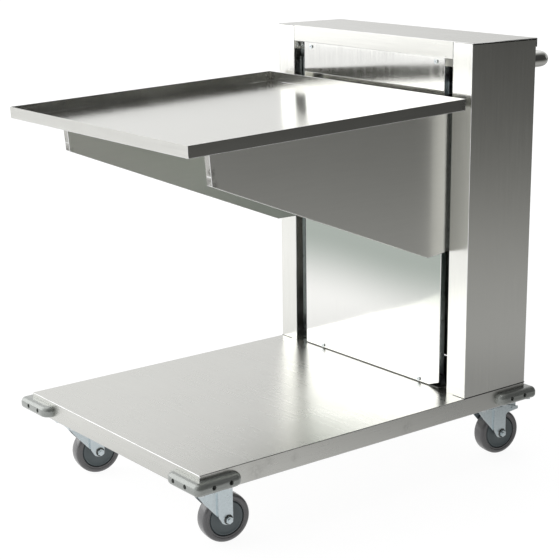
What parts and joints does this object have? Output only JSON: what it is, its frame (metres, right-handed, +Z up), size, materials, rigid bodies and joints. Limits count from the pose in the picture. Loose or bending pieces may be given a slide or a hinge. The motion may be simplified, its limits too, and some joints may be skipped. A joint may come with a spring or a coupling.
{
  "type": "tray dispenser trolley",
  "caption": "Cantilever self-levelling tray dispenser: a rimmed platform on wedge arms sinks down a hollow sprung mast, on a rolling deck with bumpers, castors and a push handle.",
  "frame": {"origin": "on the floor at the middle of the footprint, midway between the front bumpers and the push handle's grip", "axes": "+X to the user's right when facing the mast from the platform's side, +Y from the platform to the mast and push handle, +Z up"},
  "size_m": [0.662, 0.959, 0.909],
  "materials": {
    "stainless": "brushed stainless steel",
    "zinc": "bright zinc plated, satin",
    "bumper": "satin moulded grey",
    "tyre": "grey non-marking rubber",
    "hub": "moulded dark grey",
    "buffer": "black rubber"
  },
  "bodies": {
    "chassis": {"deck_pan": "stainless", "front_crossrail": "stainless", "rear_crossrail": "stainless", "deck_stiffeners": "stainless", "castor_plates": "zinc", "castor_bolts": "zinc", "bumper_front_left": "bumper", "bumper_front_right": "bumper", "bumper_rear_left": "bumper", "bumper_rear_right": "bumper", "bumper_screws": "zinc", "mast_side_left": "stainless", "mast_side_right": "stainless", "mast_cap": "stainless", "front_panel": "stainless", "front_crossbar": "stainless", "rear_cover": "stainless", "cover_screws": "zinc", "guide_rail_left": "zinc", "guide_rail_right": "zinc", "spring_hanger": "zinc", "mast_foot": "zinc", "frame_bolts": "zinc", "push_handle": "stainless", "handle_sockets": "bumper", "handle_screws": "zinc", "rubber_buffers": "buffer", "springs_left": "zinc", "springs_right": "zinc"},
    "lift": {"tray_platform": "stainless", "arm_left": "stainless", "arm_right": "stainless", "carriage_plate_left": "zinc", "carriage_plate_right": "zinc", "carriage_upper_beam": "zinc", "carriage_lower_beam": "zinc", "arm_bolts": "zinc", "roller_axles": "zinc"},
    "roller_upper_left": {"roller_upper_left": "zinc"},
    "roller_upper_right": {"roller_upper_right": "zinc"},
    "roller_lower_left": {"roller_lower_left": "zinc"},
    "roller_lower_right": {"roller_lower_right": "zinc"},
    "castor_front_left": {"fork_front_left": "zinc", "axle_front_left": "zinc"},
    "wheel_front_left": {"tyre_front_left": "tyre", "hub_front_left": "hub"},
    "castor_front_right": {"fork_front_right": "zinc", "axle_front_right": "zinc"},
    "wheel_front_right": {"tyre_front_right": "tyre", "hub_front_right": "hub"},
    "castor_rear_left": {"fork_rear_left": "zinc", "axle_rear_left": "zinc"},
    "wheel_rear_left": {"tyre_rear_left": "tyre", "hub_rear_left": "hub"},
    "castor_rear_right": {"fork_rear_right": "zinc", "axle_rear_right": "zinc"},
    "wheel_rear_right": {"tyre_rear_right": "tyre", "hub_rear_right": "hub"},
    "brake_rear_left": {"pedal_rear_left": "zinc"},
    "brake_rear_right": {"pedal_rear_right": "zinc"}
  },
  "joints": [
    {"name": "platform_travel", "type": "slide", "parent": "chassis", "child": "lift", "axis": [0, 0, 1], "range_m": [-0.29, 0], "stiffness_N_per_m": 2760, "springref_m": 0.08, "deforming": ["springs_left", "springs_right"]},
    {"name": "roller_upper_left_roll", "type": "hinge", "parent": "lift", "child": "roller_upper_left", "pos_m": [-0.291, 0.306, 0.818], "axis": [1, 0, 0], "range_deg": [-835, 5]},
    {"name": "roller_upper_right_roll", "type": "hinge", "parent": "lift", "child": "roller_upper_right", "pos_m": [0.291, 0.306, 0.818], "axis": [1, 0, 0], "range_deg": [-835, 5]},
    {"name": "roller_lower_left_roll", "type": "hinge", "parent": "lift", "child": "roller_lower_left", "pos_m": [-0.291, 0.306, 0.508], "axis": [1, 0, 0], "range_deg": [-5, 835]},
    {"name": "roller_lower_right_roll", "type": "hinge", "parent": "lift", "child": "roller_lower_right", "pos_m": [0.291, 0.306, 0.508], "axis": [1, 0, 0], "range_deg": [-5, 835]},
    {"name": "castor_front_left_swivel", "type": "hinge", "parent": "chassis", "child": "castor_front_left", "pos_m": [-0.234, -0.3935, 0.11], "axis": [0, 0, 1], "continuous": true},
    {"name": "wheel_front_left_spin", "type": "hinge", "parent": "castor_front_left", "child": "wheel_front_left", "pos_m": [-0.22853, -0.35893, 0.05], "axis": [0.9877, -0.1564, 0], "continuous": true},
    {"name": "castor_front_right_swivel", "type": "hinge", "parent": "chassis", "child": "castor_front_right", "pos_m": [0.234, -0.3935, 0.11], "axis": [0, 0, 1], "continuous": true},
    {"name": "wheel_front_right_spin", "type": "hinge", "parent": "castor_front_right", "child": "wheel_front_right", "pos_m": [0.23947, -0.35893, 0.05], "axis": [0.9877, -0.1564, 0], "continuous": true},
    {"name": "castor_rear_left_swivel", "type": "hinge", "parent": "chassis", "child": "castor_rear_left", "pos_m": [-0.234, 0.3455, 0.11], "axis": [0, 0, 1], "continuous": true},
    {"name": "wheel_rear_left_spin", "type": "hinge", "parent": "castor_rear_left", "child": "wheel_rear_left", "pos_m": [-0.22853, 0.38007, 0.05], "axis": [0.9877, -0.1564, 0], "continuous": true},
    {"name": "brake_rear_left_press", "type": "hinge", "parent": "castor_rear_left", "child": "brake_rear_left", "pos_m": [-0.2243, 0.40674, 0.103], "axis": [0.9877, -0.1564, 0], "range_deg": [-12, 0]},
    {"name": "castor_rear_right_swivel", "type": "hinge", "parent": "chassis", "child": "castor_rear_right", "pos_m": [0.234, 0.3455, 0.11], "axis": [0, 0, 1], "continuous": true},
    {"name": "wheel_rear_right_spin", "type": "hinge", "parent": "castor_rear_right", "child": "wheel_rear_right", "pos_m": [0.23947, 0.38007, 0.05], "axis": [0.9877, -0.1564, 0], "continuous": true},
    {"name": "brake_rear_right_press", "type": "hinge", "parent": "castor_rear_right", "child": "brake_rear_right", "pos_m": [0.2437, 0.40674, 0.103], "axis": [0.9877, -0.1564, 0], "range_deg": [-12, 0]}
  ],
  "couplings": [
    {"joint": "roller_upper_left_roll", "follows": "platform_travel", "rad_per_m": 50},
    {"joint": "roller_upper_right_roll", "follows": "platform_travel", "rad_per_m": 50},
    {"joint": "roller_lower_left_roll", "follows": "platform_travel", "rad_per_m": -50},
    {"joint": "roller_lower_right_roll", "follows": "platform_travel", "rad_per_m": -50}
  ]
}
